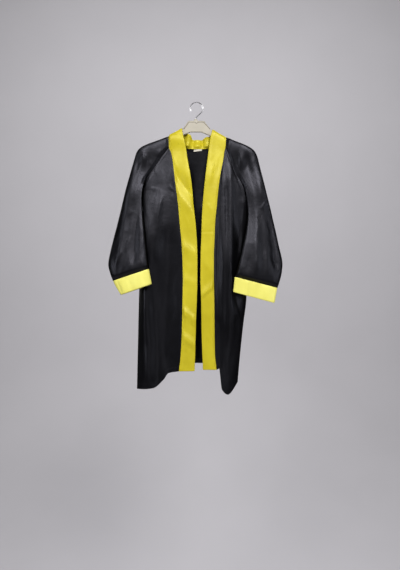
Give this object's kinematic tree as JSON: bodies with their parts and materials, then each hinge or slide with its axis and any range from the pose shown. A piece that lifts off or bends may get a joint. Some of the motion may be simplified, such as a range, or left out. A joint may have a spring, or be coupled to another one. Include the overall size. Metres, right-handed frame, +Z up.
{
  "type": "graduation gown on a hanger",
  "caption": "Open-front satin gown with raglan sleeves, contrasting front bands, neckband and cuffs, hanging on a plastic hanger with a wire hook.",
  "frame": {"origin": "top of the inside of the hanger's wire hook, where a rod or wall hook carries it", "axes": "+Z up, the front faces -Y, +X towards the left sleeve as worn"},
  "size_m": [0.5662, 0.0887, 0.9598],
  "materials": {
    "black_satin": "black polyester satin, soft sheen",
    "sleeve_satin": "black polyester satin, soft sheen",
    "yellow_band": "golden yellow polyester satin, double",
    "yellow_cuff": "light yellow polyester satin, double",
    "label_tape": "off-white woven tape, blank",
    "hanger_plastic": "cream plastic, satin gloss",
    "hook_wire": "bright steel wire"
  },
  "bodies": {
    "root": {"back": "black_satin", "front_right": "black_satin", "front_left": "black_satin", "sleeve_right": "sleeve_satin", "sleeve_left": "sleeve_satin", "band_right": "yellow_band", "band_left": "yellow_band", "band_neck": "yellow_band", "cuff_right": "yellow_cuff", "cuff_left": "yellow_cuff", "label": "label_tape", "hanger": "hanger_plastic", "hook": "hook_wire"}
  },
  "joints": []
}
